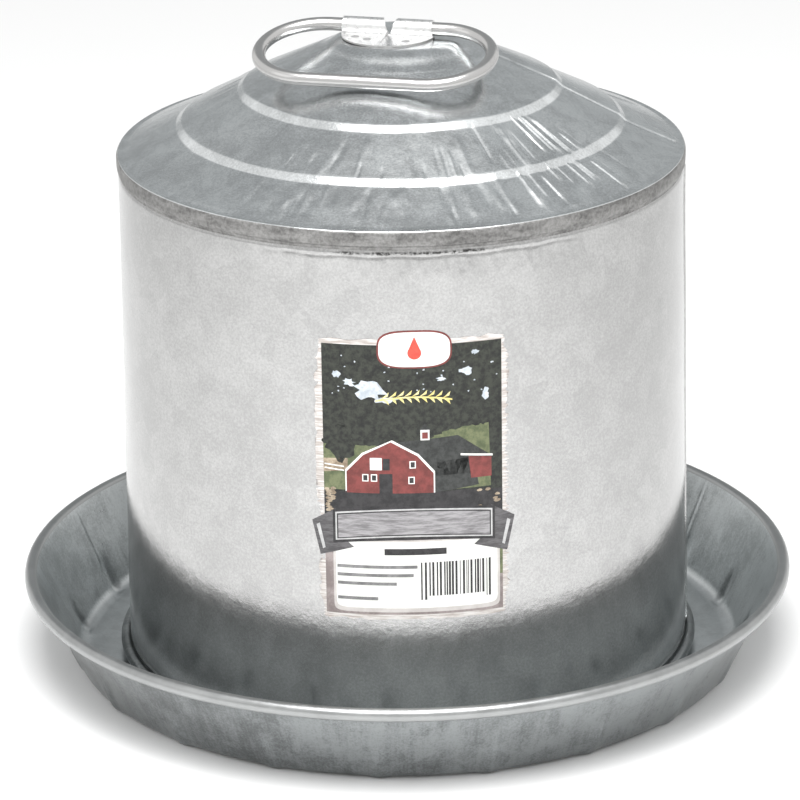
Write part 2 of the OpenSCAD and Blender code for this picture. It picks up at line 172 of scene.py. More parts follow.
def turned(az_from, az_to):
    """The turn from one azimuth to another, from -180 to 180 degrees."""
    return (az_to - az_from + 180) % 360 - 180


def bump(x, width):
    """A smooth bump of height 1 at x = 0, about width across."""
    return np.exp(-(x / (0.42 * width)) ** 2)


def window(x, low, high, edge):
    """1 between low and high, falling smoothly to 0 over edge on both sides."""
    rise = np.clip((x - low) / edge + 0.5, 0, 1)
    fall = np.clip((high - x) / edge + 0.5, 0, 1)
    smooth = [t * t * (3 - 2 * t) for t in (rise, fall)]
    return smooth[0] * smooth[1]


def circle_azimuths(step, *fine):
    """Azimuths all round at a step, closer together inside each (from, to, step) stretch of fine."""
    found = {round(a, 3) for a in np.arange(-180, 180, step)}
    for start, end, fine_step in fine:
        found |= {round(a, 3) for a in np.arange(start, end + 1e-6, fine_step)}
    return sorted(found)


# ---------------------------------------------------------------- materials

class Graph:
    """A small helper that builds the nodes of a material or of the world."""

    def __init__(self, owner, coordinates="Object"):
        owner.use_nodes = True
        self.owner = owner
        self.tree = owner.node_tree
        self.place = self.add("ShaderNodeTexCoord").outputs[coordinates]

    def add(self, kind, inputs=(), **settings):
        """A new node with these settings and these values or links in its inputs."""
        node = self.tree.nodes.new(kind)
        for key, value in settings.items():
            setattr(node, key, value)
        for key, value in dict(inputs).items():
            self.put(node.inputs[key], value)
        return node

    def put(self, socket, value):
        """Links a socket to another node's output, or sets its value. A colour comes without its alpha."""
        if isinstance(value, bpy.types.NodeSocket):
            self.tree.links.new(value, socket)
        elif socket.type == "RGBA":
            socket.default_value = (*value, 1.0)
        else:
            socket.default_value = value

    def math(self, operation, a, b=0.0):
        return self.add("ShaderNodeMath", {0: a, 1: b}, operation=operation).outputs[0]

    def plus(self, total, value, share):
        """total + value * share."""
        return self.math("ADD", total, self.math("MULTIPLY", value, share))

    def along(self, direction):
        """How far the place lies in a direction."""
        node = self.add("ShaderNodeVectorMath", {0: self.place, 1: direction}, operation="DOT_PRODUCT")
        return node.outputs["Value"]

    def height(self):
        return self.add("ShaderNodeSeparateXYZ", {0: self.place}).outputs[2]

    def stretch(self, scale, vector=None):
        node = self.add("ShaderNodeMapping", {"Vector": vector or self.place, "Scale": scale})
        return node.outputs[0]

    def noise(self, scale, detail=3.0, roughness=0.55, vector=None, distortion=0.0):
        node = self.add("ShaderNodeTexNoise", {
            "Vector": vector or self.place, "Scale": scale, "Detail": detail,
            "Roughness": roughness, "Distortion": distortion,
        })
        return node.outputs["Fac"]

    def cells(self, scale):
        """Patches that each have one random tone."""
        node = self.add("ShaderNodeTexVoronoi", {"Vector": self.place, "Scale": scale})
        return self.add("ShaderNodeSeparateColor", {0: node.outputs["Color"]}).outputs[0]

    def ramp(self, value, low, high, out_low=0.0, out_high=1.0):
        """A smooth step from out_low to out_high as value goes from low to high."""
        node = self.add("ShaderNodeMapRange", {
            "Value": value, "From Min": low, "From Max": high, "To Min": out_low, "To Max": out_high,
        }, interpolation_type="SMOOTHSTEP")
        return node.outputs["Result"]

    def mix(self, factor, a, b):
        """Colour a where factor is 0 and colour b where it is 1."""
        return self.add("ShaderNodeMix", {0: factor, 6: a, 7: b}, data_type="RGBA").outputs[2]

    def around(self):
        """Coordinates that run round the axis and along the sheet, with no break."""
        parts = self.add("ShaderNodeSeparateXYZ", {0: self.place})
        flat = self.add("ShaderNodeCombineXYZ", {0: parts.outputs[0], 1: parts.outputs[1]}).outputs[0]
        length = self.add("ShaderNodeVectorMath", {0: flat}, operation="LENGTH").outputs["Value"]
        unit = self.add("ShaderNodeVectorMath", {0: flat}, operation="NORMALIZE").outputs[0]
        ring = self.add("ShaderNodeSeparateXYZ", {0: unit})
        spread = self.math("ADD", length, parts.outputs[2])
        joined = {0: ring.outputs[0], 1: ring.outputs[1], 2: spread}
        return self.add("ShaderNodeCombineXYZ", joined).outputs[0]

    def finish(self, colour, roughness, height=None, bump_depth=0.0001, **constants):
        """The material, with its colour, roughness, bumps and constants on its shader."""
        shader = self.tree.nodes["Principled BSDF"]
        for key, value in constants.items():
            shader.inputs[key.replace("_", " ")].default_value = value
        self.put(shader.inputs["Base Color"], colour)
        self.put(shader.inputs["Roughness"], roughness)
        if height is not None:
            node = self.add("ShaderNodeBump", {"Height": height, "Distance": bump_depth, "Strength": 1.0})
            self.put(shader.inputs["Normal"], node.outputs[0])
        return self.owner


def surface(name):
    """The graph of a new material."""
    return Graph(bpy.data.materials.new(name))


def shade(tone, warmth=0.0, green=0.0):
    """A nearly neutral metal colour, made a little warmer or colder and greener."""
    return (tone * (1 + warmth), tone * (1 + green), tone * (1 - warmth))


def seam_dark_line(g, colour, middle, radius, azimuth, half_width, fade=4):
    """A broken dark line about 1 mm high painted on the sheet, from half_width degrees one side of azimuth to
    the other.
    """
    turn = math.radians(azimuth)
    ends = [radius * math.cos(math.radians(half_width + side * fade)) for side in (1, -1)]
    part = g.ramp(g.along((math.sin(turn), -math.cos(turn), 0)), *ends)
    off = g.math("ABSOLUTE", g.math("SUBTRACT", g.height(), middle))
    line = g.ramp(g.plus(off, g.noise(160.0, 3.0, 0.6), 0.0016), 0.0018, 0.0008)
    broken = g.ramp(g.noise(620.0, 4.0, 0.7), 0.42, 0.56, 0.15, 1.0)
    line = g.math("MULTIPLY", g.math("MULTIPLY", line, broken), part)
    return g.mix(line, colour, shade(0.045, 0.03))


def zinc(name, dark, light, rough, spangle=110.0, stain=0.0, dent=0.00006, upper=None, rise=(0, 1),
         streaks=0.0, cloud=0.36, grit=0.16, mottling=0.34, dark_line=None):
    """Hot-dipped zinc: crystal patches, grain, clouds and stains. upper is the pair of tones above rise."""
    g = surface(name)
    grain = g.noise(1100.0, 4.0, 0.65)
    mottle = g.noise(70.0, 5.0, 0.65, distortion=0.6)
    tone = g.math("MULTIPLY", g.cells(spangle), 0.14)
    tone = g.plus(tone, g.ramp(grain, 0.3, 0.7), grit)
    tone = g.plus(tone, g.ramp(mottle, 0.3, 0.7), mottling)
    tone = g.plus(tone, g.ramp(g.noise(11.0, 4.0, 0.6), 0.35, 0.65), cloud)
    if streaks:
        streak = g.noise(9.0, 5.0, 0.7, vector=g.stretch((6.0, 6.0, 1.5), g.around()))
        tone = g.plus(tone, g.ramp(streak, 0.3, 0.7, -0.5, 0.5), streaks)
    spread = g.ramp(tone, 0.1, 0.9)
    colour = g.mix(spread, dark, light)
    if upper:
        colour = g.mix(g.ramp(g.height(), *rise), colour, g.mix(spread, *upper))
    if stain:
        spots = g.ramp(g.noise(46.0, 6.0, 0.72), 0.56, 0.78, 0.0, stain)
        colour = g.mix(spots, colour, tuple(0.5 * part for part in dark))
    # Paints a broken dark line along the sheet where one is given.
    if dark_line:
        colour = seam_dark_line(g, colour, **dark_line)
    wear = g.plus(g.math("MULTIPLY", grain, 0.08), mottle, 0.1)
    roughness = g.math("ADD", wear, rough - 0.09)
    return g.finish(colour, roughness, g.noise(170.0, 6.0, 0.68), bump_depth=dent, Metallic=1.0)


def bead_zinc_lit():
    """The pan's rolled rim, the same all round: a lit copy of the pan's zinc, painted brighter than the pan's
    outside.
    """
    g = surface("bead_zinc_lit")
    mottle = g.noise(90.0, 5.0, 0.65)
    colour = g.mix(mottle, shade(0.27, -0.01, 0.01), shade(0.45, -0.01, 0.01))
    return g.finish(colour, g.ramp(mottle, 0.3, 0.7, 0.3, 0.4), Metallic=1.0)


def paint_node(node, material):
    """Gives a CAD node one material."""
    mesh = nodes[node].data
    mesh.materials.clear()
    mesh.materials.append(material)


def paint_where(obj, material, test):
    """Gives a second material to the faces for which test(radius, z, normal) is true."""
    obj.data.materials.append(material)
    index = len(obj.data.materials) - 1
    for face in obj.data.polygons:
        centre = face.center
        if test(math.hypot(centre.x, centre.y), centre.z, face.normal):
            face.material_index = index


def finish_piece(obj, material, body, slot, *replaced):
    """Gives a piece its material and its body, and hides the CAD nodes that it stands for. slot is not used.
    """
    obj.data.materials.append(material)
    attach(obj, body)
    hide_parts(*replaced)
    return obj


# The lowest 35 to 60 mm of the wall take the paler pair of tones: painted light, set against the dark pan
# that the lower wall mirrors.
wall_zinc = zinc("wall_zinc", shade(0.48, -0.005, 0.008), shade(0.66, -0.005, 0.008), 0.17, stain=0.25,
                 dent=0.00012, cloud=0.12, grit=0.4, mottling=0.14,
                 upper=(shade(0.38, 0.006, 0.002), shade(0.53, 0.006, 0.002)), rise=(0.035, 0.06),
                 dark_line={"middle": SEAM_Z - 2.4 * MM, "radius": TOP_R, "azimuth": 16, "half_width": 15})
cone_zinc = zinc("cone_zinc", shade(0.53, -0.02, 0.01), shade(0.77, -0.02, 0.01), 0.22, stain=0.25,
                 dent=0.00011, cloud=0.24, grit=0.3)
# The pan's one sheet comes in shaded and lit copies of its zinc, darkest outside, paler inside and palest on
# the floor: painted light and shade.
pan_zinc = zinc("pan_zinc", shade(0.15, -0.03, 0.02), shade(0.3, -0.03, 0.02), 0.3, spangle=150.0,
                stain=0.55, streaks=0.22, grit=0.34, dent=0.0001)
pan_inside_lit = zinc("pan_inside_lit", shade(0.34, -0.03, 0.02), shade(0.56, -0.03, 0.02), 0.3, spangle=150.0,
                  stain=0.35, streaks=0.2, grit=0.34, dent=0.0001)
pan_floor_lit = zinc("pan_floor_lit", shade(0.42, -0.025, 0.015), shade(0.6, -0.025, 0.015), 0.32, stain=0.3)
tank_zinc = zinc("tank_zinc", shade(0.5, -0.01), shade(0.68, -0.01), 0.38)


def seam_zinc():
    """The top seam's darker, pitted and slightly warm zinc."""
    g = surface("seam_zinc")
    grain = g.noise(700.0, 5.0, 0.7)
    clouds = g.noise(70.0, 4.0, 0.6, vector=g.stretch((1.0, 1.0, 3.0)))
    tone = g.plus(g.math("MULTIPLY", g.ramp(grain, 0.35, 0.65), 0.5), g.ramp(clouds, 0.3, 0.7), 0.5)
    colour = g.mix(tone, shade(0.12, 0.02, 0.005), shade(0.37, 0.015, 0.005))
    return g.finish(colour, g.ramp(grain, 0.3, 0.7, 0.45, 0.6), grain, bump_depth=0.0002, Metallic=1.0)


def bright_wire():
    """Bright zinc-plated drawn wire, with faint scuffs."""
    g = surface("bright_wire")
    grain = g.noise(300.0, 3.0, 0.5)
    scuff = g.ramp(g.noise(90.0, 5.0, 0.7), 0.6, 0.8)
    colour = g.mix(scuff, shade(0.53, 0.01), shade(0.34, 0.015))
    return g.finish(colour, g.ramp(grain, 0.3, 0.7, 0.2, 0.26), Metallic=1.0)


def plated_sheet():
    """Bright plated sheet with press marks."""
    g = surface("plated_sheet")
    grain = g.noise(650.0, 4.0, 0.65)
    scuff = g.ramp(g.noise(140.0, 5.0, 0.7), 0.55, 0.8)
    colour = g.mix(scuff, shade(0.74), shade(0.2))
    return g.finish(colour, g.ramp(grain, 0.3, 0.7, 0.25, 0.4), grain, bump_depth=0.0001, Metallic=1.0)


def plain_metal(name, tone, warmth, rough):
    """A small part's metal, with a little grain."""
    g = surface(name)
    grain = g.noise(600.0, 4.0, 0.6)
    colour = g.mix(grain, shade(tone * 0.8, warmth), shade(tone, warmth))
    return g.finish(colour, g.ramp(grain, 0.3, 0.7, rough - 0.06, rough + 0.06), grain,
                    bump_depth=0.0001, Metallic=1.0)


def brass():
    """Plain turned brass."""
    g = surface("turned_brass")
    grain = g.noise(500.0, 4.0, 0.6)
    colour = g.mix(grain, (0.5, 0.34, 0.12), (0.78, 0.58, 0.26))
    return g.finish(colour, g.ramp(grain, 0.3, 0.7, 0.25, 0.4), grain, bump_depth=0.0001, Metallic=1.0)


def black_rubber(name="black_rubber", tone=0.035):
    """Matt rubber, also used with a paler tone for the seam compound."""
    g = surface(name)
    grain = g.noise(900.0, 4.0, 0.6)
    colour = g.mix(grain, shade(tone * 0.7), shade(tone * 1.3))
    return g.finish(colour, g.ramp(grain, 0.3, 0.7, 0.6, 0.8), grain, bump_depth=0.0001)


wire_metal = bright_wire()
plated = plated_sheet()
dull_wire = plain_metal("dull_wire", 0.5, 0.01, 0.42)
solder_metal = plain_metal("solder_metal", 0.42, 0.0, 0.5)
seam_metal = seam_zinc()
brass_metal = brass()
rubber = black_rubber()
compound = black_rubber("seam_compound_grey", 0.2)


# ---------------------------------------------------------------- pan

pan_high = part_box("pan")[1]
PAN_R = pan_high.x
BEAD_R = 2.65 * MM
BEAD = (PAN_R - BEAD_R, pan_high.z - BEAD_R)
CORNER_R = 7.5 * MM
CORNER = (139.4 * MM - CORNER_R, CORNER_R)
FLUTES = 20
FLUTE_W = 8.5 * MM
FLUTE_RISE = 0.85 * MM
FLUTE_PITCH = 360 / FLUTES


def slope_of_pan():
    """Angle from upright of the wall that runs from the rounded corner to the inside of the bead."""
    run = (BEAD[0] - BEAD_R + SHEET - CORNER[0], BEAD[1] - CORNER[1])
    return math.degrees(math.atan2(*run) - math.asin(CORNER_R / math.hypot(*run)))


PAN_SLOPE = slope_of_pan()


def pan_line():
    """The middle of the pan's sheet, from its centre to the end of the rolled rim."""
    mid = SHEET / 2
    line = [(0, mid), (60 * MM, mid), (120 * MM, mid)]
    line += arc(CORNER, CORNER_R - mid, -90, -PAN_SLOPE, 12)
    line += arc(BEAD, BEAD_R - mid, 180 - PAN_SLOPE, -150, 26)
    return resample(line, 2.2 * MM)


def pan_piece():
    """The pan, with its flutes and with a fine crease on the wall above each of them."""
    slope = math.radians(PAN_SLOPE)
    wall_foot = CORNER[1] * (1 - math.sin(slope))
    creases = random.Random(3)
    depth = np.array([creases.choice([0.03, 0.06, 0.12]) for _ in range(FLUTES)])
    shift = np.array([creases.uniform(-1.5, 1.5) for _ in range(FLUTES)])

    def shape(az, r, z):
        flute = np.floor(az / FLUTE_PITCH).astype(int) % FLUTES
        across = np.radians((az % FLUTE_PITCH) - FLUTE_PITCH / 2) * r
        normal = np.clip(np.degrees(np.arctan2(z - CORNER[1], r - CORNER[0])), -90, -PAN_SLOPE)
        up = (z - wall_foot) / math.cos(slope)
        on_corner = window(normal, -70, 0, 16) * window(up, -1, 10 * MM, 9 * MM)
        on_wall = window(up, 4 * MM, 34 * MM, 8 * MM) * window(r, 128 * MM, 156 * MM, 4 * MM)
        off = across - shift[flute] * MM
        crease = bump(off - 1.2 * MM, 1.6 * MM) - bump(off, 1.6 * MM)
        wave = np.sin(np.radians(az) * 3 + 0.6) * window(up, 6 * MM, 30 * MM, 10 * MM)
        push = FLUTE_RISE * bump(across, FLUTE_W) * on_corner
        push = push + depth[flute] * MM * crease * on_wall + 0.12 * MM * wave
        angle = np.radians(normal)
        return r + push * np.cos(angle), z + push * np.sin(angle)

    middles = [FLUTE_PITCH * (k + 0.5) - 180 for k in range(FLUTES)]
    fine = [(az - 3, az + 3, 0.3) for az in middles]
    return revolve("pan_pressed", thick(pan_line()), circle_azimuths(1.0, *fine), shape)


pan = finish_piece(pan_piece(), pan_zinc, "base", "galvanised_pan", "pan")
# Up-facing faces take the lit copies: painted light on the pan's inside and floor.
paint_where(pan, pan_inside_lit, lambda r, z, normal: normal.z > 0.1)
paint_where(pan, pan_floor_lit, lambda r, z, normal: normal.z > 0.1 and z < 2.5 * MM)
paint_where(pan, bead_zinc_lit(), lambda r, z, normal: math.dist((r, z), BEAD) < BEAD_R + 0.1 * MM)


# ---------------------------------------------------------------- shell wall

wall_low, wall_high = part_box("shell_wall")
MOUTH_Z = wall_low.z
CURL_R = 2.3 * MM
MOUTH_R = 116.0 * MM
CURL = (MOUTH_R - SHEET + CURL_R, MOUTH_Z + CURL_R)
WALL_SEAM_AZ = 102.0
LOCK_SEAM_W = 6.5 * MM


def wall_radius(z):
    """Outer radius of the shell wall at height z."""
    return MOUTH_R - (z - MOUTH_Z) * (MOUTH_R - TOP_R) / (SEAM_Z - MOUTH_Z)


def seam_edges(az, radius, fine_step):
    """Stretches of azimuth at both edges of a lock seam, so that its steps stay crisp."""
    half = math.degrees(LOCK_SEAM_W / 2 / radius)
    reach = math.degrees(0.35 * MM / radius)
    return [(az + side * half - reach, az + side * half + reach, fine_step) for side in (-1, 1)]


def shell_line():
    """The middle of the shell's sheet, from inside the top seam to the end of the curled mouth."""
    mid = SHEET / 2

    def on_wall(z):
        return (wall_radius(z) - mid, z)

    neck = [(TOP_R - mid, wall_high.z), (TOP_R - mid, SEAM_Z + 0.5 * MM),
            (TOP_R - mid - 0.4 * MM, SEAM_Z - 0.9 * MM), on_wall(SEAM_Z - 2.2 * MM)]
    line = resample(rounded(neck, 0.8 * MM, 4) + [on_wall(SEAM_Z - 4 * MM)], 0.5 * MM)
    line += [on_wall(z) for z in np.arange(SEAM_Z - 4.4 * MM, SEAM_Z - 12 * MM, -0.5 * MM)]
    line += [on_wall(z) for z in np.linspace(SEAM_Z - 13 * MM, CURL[1] + 3 * MM, 75)]
    return line + arc(CURL, CURL_R - mid, 180, 505, 24)


def pressed_edge(az, z):
    """Fine crinkles and a shallow crease under the front of the top seam."""
    turn = np.radians(az)
    crinkle = np.sin(turn * 97) + np.sin(turn * 151 + 1.3 + z * 400) + np.sin(turn * 61 + 0.4 - z * 300)
    crease_z = SEAM_Z - 3.6 * MM + 0.25 * MM * np.sin(turn * 34)
    crease = bump(z - crease_z, 1.4 * MM) * (0.6 + 0.25 * np.sin(turn * 83 + 1))
    below_seam = window(z, SEAM_Z - 11 * MM, SEAM_Z - 2.0 * MM, 4 * MM) * window(turned(22, az), -34, 34, 24)
    return (0.035 * crinkle - 0.28 * crease * window(turned(18, az), -30, 30, 20)) * MM * below_seam


def shell_piece():
    """The shell's wall, with its lock seam, faint dents and the pressed edge under the top seam."""

    def shape(az, r, z):
        turn = np.radians(az)
        dents = 0.16 * np.sin(turn * 4 + z * 26) + 0.12 * np.sin(turn * 7 - z * 41 + 1)
        dents = dents + 0.1 * np.sin(z * 95 + np.sin(turn * 2) * 1.5)
        dents = dents * MM * 0.5 * window(z, 10 * MM, SEAM_Z - 8 * MM, 10 * MM)
        across = np.radians(np.abs(turned(WALL_SEAM_AZ, az))) * r
        seam = window(across, -1, LOCK_SEAM_W / 2, 0.35 * MM) * window(z, 10 * MM, SEAM_Z - 0.3 * MM, 1 * MM)
        return r + dents + pressed_edge(az, z) + seam * SHEET * 0.9, z

    azimuths = circle_azimuths(1.0, *seam_edges(WALL_SEAM_AZ, TOP_R, 0.06), (-16, 56, 0.4))
    return revolve("shell_side", thick(shell_line()), azimuths, shape, sharp=50)


shell = finish_piece(shell_piece(), wall_zinc, "shell", "galvanised_sheet", "shell_wall")
paint_where(shell, seam_metal, lambda r, z, normal: z > SEAM_Z - 1.1 * MM)
# The shell's mouth curl, down in the pan, takes the pan's darkest zinc: painted shade.
paint_where(shell, pan_zinc, lambda r, z, normal: z < MOUTH_Z + 2.1 * CURL_R)


# ---------------------------------------------------------------- cone

SEAM_TOP = SEAM_Z + 6.7 * MM
BAND_R = CONE_HIGH.x
STEP_A = (89.9 * MM, 226.5 * MM)
STEP_B = (64.9 * MM, 240.53 * MM)
STEP = 2.5 * MM
CONE_SEAM_AZ = 103.0
cap_low, cap_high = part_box("crown_cap")
CAP_R = cap_high.x
CAP_Z = cap_low.z
CAP_TOP = cap_high.z

# Forming folds in the cone's panels: azimuth, inner and outer radius in mm, width in mm, height in mm
FOLDS = [
    (48, 72, 87, 3.0, 0.4), (51, 70, 86, 2.0, -0.3), (56.5, 64, 82, 1.8, 0.5), (58.5, 64, 84, 1.6, -0.45),
    (60.5, 65, 84, 1.8, 0.6), (62.5, 67, 87, 1.6, -0.45), (64, 68, 87, 1.6, 0.4), (67, 77, 87, 1.8, 0.5),
    (69, 76, 87, 1.6, -0.3), (32, 69, 87, 3.5, 0.3), (39, 65, 82, 2.2, -0.3), (44.5, 89, 105, 2.4, 0.5),
    (46.5, 90, 103, 1.6, -0.4), (50, 92, 104, 1.8, 0.5), (53.5, 88, 96, 2.0, 0.5), (55.5, 90, 100, 1.5, -0.4),
    (38, 89, 107, 4.0, 0.35), (59.5, 89, 102, 2.0, 0.5), (61.5, 90, 102, 1.6, -0.4), (63, 90, 100, 1.8, 0.5),
    (67, 92, 108, 2.0, 0.6), (69, 92, 106, 1.5, -0.3), (74, 91, 104, 2.2, -0.45), (23.5, 90, 100, 2.0, -0.3),
    (14, 90, 104, 4.0, 0.18), (-9, 96, 107, 2.6, -0.22), (-28, 95, 107, 2.6, -0.2), (3, 82, 87, 1.2, -0.3),
    (9, 83, 87, 1.2, -0.3), (20, 82, 87, 1.4, -0.3), (30, 83, 88, 1.2, -0.25), (26, 74, 88, 1.6, -0.2),
    (28, 76, 88, 1.6, 0.2),
]


def small_folds():
    """Fine press wrinkles round the front, and milder wide folds on the sides that face away from it."""
    rng = random.Random(7)
    out = []
    for _ in range(58):
        inner, limit = rng.choice([(66, 86), (90, 110), (90, 110)])
        start = rng.uniform(inner, limit - 6)
        out.append((rng.uniform(-22, 60), start, min(limit, start + rng.uniform(4, 14)),
                    rng.uniform(1.4, 4.5), rng.choice([-1, 1]) * rng.uniform(0.1, 0.32)))
    for az in range(125, 325, 8):
        inner = rng.choice([66, 90])
        out.append((az + rng.uniform(-3, 3), inner, inner + rng.uniform(10, 18),
                    rng.uniform(2.0, 5.0), rng.uniform(-0.3, 0.35)))
    return out


def cone_line():
    """The middle of the cone's sheet, from the foot of the seam band up to the cap."""
    mid = SHEET / 2
    drop = mid * 1.1
    band = [
        (BAND_R - 0.9 * MM, SEAM_Z + mid), (BAND_R - mid - 0.05 * MM, SEAM_Z + 0.9 * MM),
        (BAND_R - mid, SEAM_Z + 3 * MM), (BAND_R - mid, SEAM_TOP - 1.1 * MM),
        (BAND_R - 0.9 * MM, SEAM_TOP - mid), (BAND_R - 2.1 * MM, SEAM_TOP - mid - 0.3 * MM),
        (BAND_R - 3.2 * MM, SEAM_TOP - mid),
    ]
    panels = [band[-1]]
    for r, z in (STEP_A, STEP_B):
        panels += [(r, z - drop), (r - STEP, z + STEP - drop)]
    panels.append((CAP_R - 0.9 * MM, CAP_Z - drop + 0.1 * MM))
    return resample(rounded(band, 0.5 * MM, 3)[:-1] + rounded(panels, 0.6 * MM, 5), 1.4 * MM)


def cone_piece():
    """The cone, with its forming folds, its radial lap seam and a rim that is a little uneven."""
    folds = FOLDS + small_folds()

    def shape(az, r, z):
        turn = np.radians(az)
        on_top = window(z, SEAM_TOP, 1, 0.6 * MM)
        rise = 0.12 * np.sin(turn * 5 + r * 90) + 0.1 * np.sin(turn * 9 - r * 60)
        for fold_az, inner, outer, width, height in folds:
            across = np.radians(turned(fold_az, az)) * r
            rise = rise + height * bump(across, width * MM) * window(r, inner * MM, outer * MM, 4 * MM)
        across = np.radians(turned(CONE_SEAM_AZ, az)) * r
        lap = window(across, -LOCK_SEAM_W / 2, LOCK_SEAM_W / 2, 0.4 * MM) * 0.55
        lap = lap * window(r, CAP_R + 1.5 * MM, BAND_R - 3 * MM, 1.5 * MM)
        rim = 0.06 * MM * (np.sin(turn * 13) + np.sin(turn * 29 + 1))
        rim = rim * window(z, SEAM_Z + 1 * MM, SEAM_TOP - 1 * MM, 2 * MM)
        return r + rim - 0.1 * MM * (1 - on_top), z + (rise + lap) * MM * on_top

    edges = seam_edges(CONE_SEAM_AZ, BAND_R, 0.3) + seam_edges(CONE_SEAM_AZ, STEP_B[0], 0.3)
    azimuths = circle_azimuths(0.8, (-24, 80, 0.3), *edges)
    return revolve("cone_pressed", thick(cone_line()), azimuths, shape, sharp=50)


cone = finish_piece(cone_piece(), cone_zinc, "shell", "galvanised_sheet", "cone_top")
paint_where(cone, seam_metal, lambda r, z, normal: z < SEAM_TOP - 0.45 * MM and r > BAND_R - 1.2 * MM)


# ---------------------------------------------------------------- crown cap

def cap_piece():
    """The cap: flat in the middle, then falling in a smooth curve. fall is radius and drop in mm."""
    rim = CAP_R / MM
    fall = ((0, 0), (17, 0), (21, 0.02), (24.3, 0.45), (27, 1.55), (30.6, 3.85),
            (rim - 0.9, 5.14), (rim + 0.6, 5.95))
    line = [(r * MM, CAP_TOP - SHEET / 2 - drop * MM) for r, drop in fall]

    def shape(az, r, z):
        wave = 0.12 * MM * np.sin(np.radians(az) * 3 + 1) * window(r, 18 * MM, 31 * MM, 6 * MM)
        return r, z - np.abs(wave)

    outline = thick(resample(rounded(line, 2.2 * MM, 6), 1.5 * MM))
    return revolve("crown_pressed", outline, circle_azimuths(1.5), shape, sharp=50)


finish_piece(cap_piece(), cone_zinc, "shell", "galvanised_sheet", "crown_cap")


# ---------------------------------------------------------------- handle and clip

clip_low, clip_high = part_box("handle_clip")
wire_low, wire_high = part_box("carry_handle")
HINGE = Vector(next(j["pos_m"] for j in frame["joints"] if j["name"] == "handle_fold"))
WIRE_R = 2.7 * MM
HANDLE_L = wire_high.x - wire_low.x
HANDLE_W = 52 * MM
HANDLE_TILT = math.radians(12.5)
CLIP_R = (clip_high.x - clip_low.x) / 2
NOTCH_X = 1.0 * MM
WIRE_GAP = 9.0 * MM


def open_loop(length, width, spacing):
    """Centre line of a loop with straight sides and half-round ends, open in the middle of its back side."""
    bend = width / 2
    half = length / 2 - bend
    turns = np.linspace(0, math.pi, max(8, int(math.pi * bend / spacing)))
    points = [(x, 0.0) for x in np.linspace(NOTCH_X + WIRE_GAP / 2, half, 10)[:-1]]
    points += [(half + bend * math.sin(a), -bend + bend * math.cos(a)) for a in turns]
    points += [(x, -2 * bend) for x in np.linspace(half, -half, int(2 * half / spacing))[1:-1]]
    points += [(-half - bend * math.sin(a), -bend - bend * math.cos(a)) for a in turns]
    points += [(x, 0.0) for x in np.linspace(-half, NOTCH_X - WIRE_GAP / 2, 10)[1:]]
    return points


def wire_tube(path, radius, sides=28):
    """Points and faces of round wire along a flat path, with softly rounded ends."""
    path = np.array([(x, y, 0) for x, y in path])
    along = directions(path)
    edge = 0.5 * MM
    path = np.concatenate([path[:1], path[:1] + along[:1] * edge, path[1:-1],
                           path[-1:] - along[-1:] * edge, path[-1:]])
    along = np.concatenate([along[:1], along, along[-1:]])
    radii = np.full(len(path), radius)
    radii[[0, -1]] = radius - edge
    up = np.array([0, 0, 1.0])
    side = np.cross(along, up)
    angles = np.linspace(0, 2 * math.pi, sides, endpoint=False)
    ring = np.cos(angles)[None, :, None] * side[:, None, :] + np.sin(angles)[None, :, None] * up
    points = (path[:, None, :] + radii[:, None, None] * ring).reshape(-1, 3)
    faces = []
    for i in range(len(path) - 1):
        for k in range(sides):
            m = (k + 1) % sides
            faces.append((i * sides + k, (i + 1) * sides + k, (i + 1) * sides + m, i * sides + m))
    last = (len(path) - 1) * sides
    return points, faces + [tuple(range(sides)), tuple(range(last, last + sides))]


def handle_piece():
    """The wire loop, turned to its place at rest, where it lies on the cone."""
    path = open_loop(HANDLE_L - 2 * WIRE_R, HANDLE_W - 2 * WIRE_R, 1.6 * MM)
    points, faces = wire_tube(path, WIRE_R)
    c, s = math.cos(HANDLE_TILT), math.sin(HANDLE_TILT)
    tilted = np.stack([points[:, 0], c * points[:, 1] - s * points[:, 2],
                       s * points[:, 1] + c * points[:, 2]], axis=1)
    return mesh_from("wire_loop", tilted + np.array(HINGE), faces, sharp=60)


finish_piece(handle_piece(), wire_metal, "handle", "zinc_wire", "carry_handle")


def clip_section():
    """The clip's side view: flange, the bend that rises in front of the wire, and the roll back over it."""
    mid = SHEET / 2
    flange_z = clip_low.z + mid
    roll_r = clip_high.z - HINGE.z - mid
    foot = math.radians(238)
    start = (roll_r * math.cos(foot), HINGE.z + roll_r * math.sin(foot))
    flange = [(-CLIP_R + mid, flange_z), (-13 * MM, flange_z), (-8 * MM, flange_z)]
    flange += [(start[0] - 1.6 * MM, flange_z), start]
    roll = arc((0, HINGE.z), roll_r, 220, -62, 34)
    return resample(rounded(flange, 0.9 * MM, 5)[:-1] + roll, 0.7 * MM), flange_z


def clip_rows(line, lengths, bend_at, side):
    """Points across one half of the clip for each point of its section, which is a tab past bend_at."""
    rows = []
    for (y, z), s in zip(line, lengths):
        t = (s - bend_at) / (lengths[-1] - bend_at)
        if t > 0:
            middle = HINGE.x + NOTCH_X
            inner = (0.3 + 5.2 * t) * MM
            outer = CLIP_R - 0.4 * MM - 0.3 * MM * math.sin(3 * t) - side * NOTCH_X
        else:
            middle = HINGE.x
            inner = 0.0
            outer = min(math.sqrt(max(CLIP_R ** 2 - y ** 2, (0.5 * MM) ** 2)), CLIP_R - 0.2 * MM)
        rows.append([(middle + side * x, y, z) for x in np.linspace(inner, outer, 31)])
    return rows


